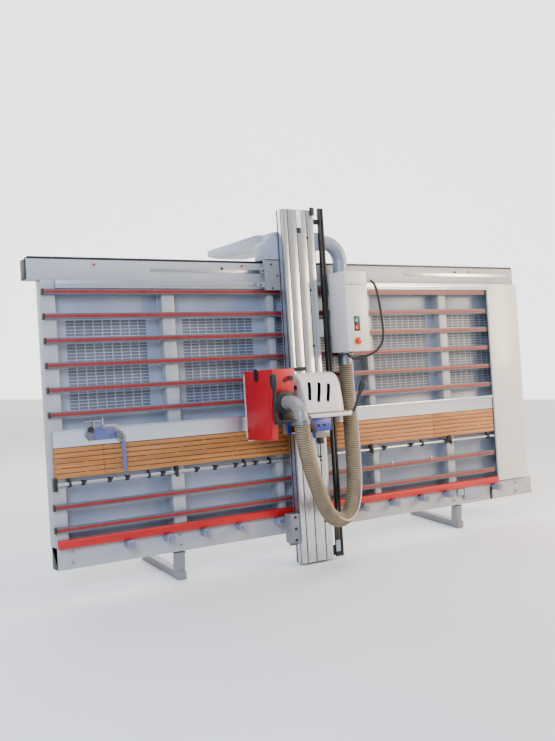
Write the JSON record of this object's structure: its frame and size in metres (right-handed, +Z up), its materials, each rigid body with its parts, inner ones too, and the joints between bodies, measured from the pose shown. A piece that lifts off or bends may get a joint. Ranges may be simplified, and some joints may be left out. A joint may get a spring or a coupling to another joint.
{
  "type": "panel saw",
  "caption": "Vertical panel saw: a leaning slatted wall, a saw beam that rolls along it and a swivelling, plunging saw unit with extraction hose.",
  "frame": {"origin": "on the floor, under the middle of the machine's box without its hose and cables", "axes": "+X to the right along the wall seen from the operator, -Y towards the operator, +Z up"},
  "size_m": [4.828, 1.8612, 2.821],
  "materials": {
    "frame_paint": "light warm grey powder coat",
    "panel_paint": "pale grey sheet, satin",
    "slat_grey": "mid grey profile, satin",
    "strip_red": "dark red plastic strip",
    "ledge_red": "red ledge, satin",
    "aluminium": "anodised, brushed along its length",
    "wood": "orange-brown grooved facing",
    "black_plastic": "black, fine grain",
    "steel": "turned steel",
    "zinc": "zinc plated",
    "panel_white": "off-white cover paint",
    "duct_grey": "blue-grey duct paint",
    "pipe_grey": "blue-grey pipe",
    "box_beige": "beige-white cabinet paint",
    "button_green": "green button",
    "button_red": "red button",
    "cable_black": "black sheath",
    "cable_grey": "grey sheath",
    "hose_beige": "beige ribbed hose",
    "hood_red": "bright red paint",
    "carriage_blue": "blue paint",
    "elbow_grey": "warm grey paint",
    "cast_grey": "dark grey castings",
    "black_metal": "black paint"
  },
  "bodies": {
    "frame": {"top_beam": "frame_paint", "bottom_beam": "frame_paint", "end_posts": "frame_paint", "uprights": "frame_paint", "cross_rails": "frame_paint", "perforated_panels": "panel_paint", "plain_panels": "panel_paint", "slat_profiles": "slat_grey", "slat_strips": "strip_red", "mid_rails": "aluminium", "wood_panels": "wood", "shaft_brackets": "black_metal", "lower_ledge": "ledge_red", "feet": "frame_paint", "frame_fasteners": "zinc", "end_panel": "panel_white", "end_caps": "black_plastic", "top_track": "aluminium", "rule_rail": "aluminium"},
    "roller_1": {"roller_1": "zinc"},
    "roller_2": {"roller_2": "zinc"},
    "roller_3": {"roller_3": "zinc"},
    "roller_4": {"roller_4": "zinc"},
    "roller_5": {"roller_5": "zinc"},
    "roller_6": {"roller_6": "zinc"},
    "roller_7": {"roller_7": "zinc"},
    "roller_8": {"roller_8": "zinc"},
    "roller_9": {"roller_9": "zinc"},
    "roller_10": {"roller_10": "zinc"},
    "support_shaft": {"support_shaft": "steel", "support_pawls": "black_plastic"},
    "saw_beam": {"beam_profile": "aluminium", "beam_carriages": "black_metal", "extraction_duct": "duct_grey", "rigid_pipe": "pipe_grey", "control_box": "box_beige", "control_cable": "cable_black", "stop_rod": "black_metal", "extraction_hose": "hose_beige", "motor_cable": "cable_grey"},
    "track_wheel_1": {"track_wheel_1": "steel"},
    "track_wheel_2": {"track_wheel_2": "steel"},
    "start_button": {"start_button": "button_green"},
    "stop_button": {"stop_button": "button_red"},
    "emergency_stop": {"emergency_stop": "button_red"},
    "counterweight": {"counterweight": "cast_grey"},
    "balance_pulley": {"balance_pulley": "cast_grey"},
    "saw_carriage": {"carriage_plate": "carriage_blue", "swivel_bracket": "black_metal", "elbow": "elbow_grey"},
    "clamp_lever": {"clamp_lever": "black_plastic"},
    "saw_unit": {"blade_hood": "hood_red", "motor_cover": "panel_white", "saw_frame": "black_metal"},
    "plunge_lever": {"plunge_lever": "black_plastic"},
    "saw_motor": {"saw_motor": "cast_grey"},
    "blade": {"saw_blade": "steel", "arbor": "steel"},
    "stop_carriage": {"stop_carriage": "zinc"},
    "stop_flag": {"stop_flag": "zinc"}
  },
  "joints": [
    {"name": "roller_1_spin", "type": "hinge", "parent": "frame", "child": "roller_1", "pos_m": [-1.787, -0.26922, 0.33676], "axis": [0, -0.9936, 0.1129], "continuous": true},
    {"name": "roller_2_spin", "type": "hinge", "parent": "frame", "child": "roller_2", "pos_m": [-1.477, -0.26922, 0.33676], "axis": [0, -0.9936, 0.1129], "continuous": true},
    {"name": "roller_3_spin", "type": "hinge", "parent": "frame", "child": "roller_3", "pos_m": [-1.173, -0.26922, 0.33676], "axis": [0, -0.9936, 0.1129], "continuous": true},
    {"name": "roller_4_spin", "type": "hinge", "parent": "frame", "child": "roller_4", "pos_m": [-0.866, -0.26922, 0.33676], "axis": [0, -0.9936, 0.1129], "continuous": true},
    {"name": "roller_5_spin", "type": "hinge", "parent": "frame", "child": "roller_5", "pos_m": [-0.517, -0.26922, 0.33676], "axis": [0, -0.9936, 0.1129], "continuous": true},
    {"name": "roller_6_spin", "type": "hinge", "parent": "frame", "child": "roller_6", "pos_m": [0.332, -0.26922, 0.33676], "axis": [0, -0.9936, 0.1129], "continuous": true},
    {"name": "roller_7_spin", "type": "hinge", "parent": "frame", "child": "roller_7", "pos_m": [0.669, -0.26922, 0.33676], "axis": [0, -0.9936, 0.1129], "continuous": true},
    {"name": "roller_8_spin", "type": "hinge", "parent": "frame", "child": "roller_8", "pos_m": [0.999, -0.26922, 0.33676], "axis": [0, -0.9936, 0.1129], "continuous": true},
    {"name": "roller_9_spin", "type": "hinge", "parent": "frame", "child": "roller_9", "pos_m": [1.296, -0.26922, 0.33676], "axis": [0, -0.9936, 0.1129], "continuous": true},
    {"name": "roller_10_spin", "type": "hinge", "parent": "frame", "child": "roller_10", "pos_m": [1.902, -0.26922, 0.33676], "axis": [0, -0.9936, 0.1129], "continuous": true},
    {"name": "support_turn", "type": "hinge", "parent": "frame", "child": "support_shaft", "pos_m": [0, -0.19761, 0.80769], "axis": [1, 0, 0], "range_deg": [0, 75]},
    {"name": "beam_travel", "type": "slide", "parent": "frame", "child": "saw_beam", "axis": [1, 0, 0], "range_m": [-1.7, 1.6]},
    {"name": "track_wheel_1_spin", "type": "hinge", "parent": "saw_beam", "child": "track_wheel_1", "pos_m": [-0.5, -0.06944, 2.2286], "axis": [0, -0.9936, 0.1129], "range_deg": [-4447, 4447]},
    {"name": "track_wheel_2_spin", "type": "hinge", "parent": "saw_beam", "child": "track_wheel_2", "pos_m": [-0.16, -0.06944, 2.2286], "axis": [0, -0.9936, 0.1129], "range_deg": [-4447, 4447]},
    {"name": "carriage_travel", "type": "slide", "parent": "saw_beam", "child": "saw_carriage", "axis": [0, 0.1129, 0.9936], "range_m": [-0.5, 0.85], "deforming": ["extraction_hose", "motor_cable"]},
    {"name": "counterweight_travel", "type": "slide", "parent": "saw_beam", "child": "counterweight", "axis": [0, 0.1129, 0.9936], "range_m": [-0.85, 0.5]},
    {"name": "balance_pulley_spin", "type": "hinge", "parent": "saw_beam", "child": "balance_pulley", "pos_m": [-0.182, -0.10969, 2.71596], "axis": [0, -0.9936, 0.1129], "range_deg": [-1228, 1228]},
    {"name": "start_press", "type": "slide", "parent": "saw_beam", "child": "start_button", "axis": [0, 0.9936, -0.1129], "range_m": [0, 0.004], "stiffness_N_per_m": 900},
    {"name": "stop_press", "type": "slide", "parent": "saw_beam", "child": "stop_button", "axis": [0, 0.9936, -0.1129], "range_m": [0, 0.004], "stiffness_N_per_m": 900},
    {"name": "emergency_press", "type": "slide", "parent": "saw_beam", "child": "emergency_stop", "axis": [0, 0.9936, -0.1129], "range_m": [0, 0.006], "stiffness_N_per_m": 900},
    {"name": "clamp_turn", "type": "hinge", "parent": "saw_carriage", "child": "clamp_lever", "pos_m": [-0.75, -0.73457, 1.2018], "axis": [1, 0, 0], "range_deg": [0, 35]},
    {"name": "swivel", "type": "hinge", "parent": "saw_carriage", "child": "saw_unit", "pos_m": [-0.712, -0.61997, 1.32466], "axis": [0, -0.9936, 0.1129], "range_deg": [0, 90]},
    {"name": "plunge", "type": "slide", "parent": "saw_unit", "child": "saw_motor", "axis": [0, 0.9936, -0.1129], "range_m": [0, 0.0865]},
    {"name": "plunge_lever_turn", "type": "hinge", "parent": "saw_unit", "child": "plunge_lever", "pos_m": [-0.06, -0.58934, 1.20443], "axis": [1, 0, 0], "range_deg": [0, 60]},
    {"name": "blade_spin", "type": "hinge", "parent": "saw_motor", "child": "blade", "pos_m": [-0.768, -0.37157, 1.29644], "axis": [1, 0, 0], "continuous": true},
    {"name": "stop_carriage_travel", "type": "slide", "parent": "frame", "child": "stop_carriage", "axis": [1, 0, 0], "range_m": [-0.18, 1.85]},
    {"name": "stop_flag_turn", "type": "hinge", "parent": "stop_carriage", "child": "stop_flag", "pos_m": [-1.799, -0.20906, 1.09683], "axis": [0, -0.9936, 0.1129], "range_deg": [0, 90]}
  ],
  "couplings": [
    {"joint": "track_wheel_1_spin", "follows": "beam_travel", "rad_per_m": -45.455},
    {"joint": "track_wheel_2_spin", "follows": "beam_travel", "rad_per_m": -45.455},
    {"joint": "counterweight_travel", "follows": "carriage_travel", "ratio": -1},
    {"joint": "balance_pulley_spin", "follows": "carriage_travel", "rad_per_m": -25},
    {"joint": "plunge_lever_turn", "follows": "plunge", "rad_per_m": 12.046}
  ]
}
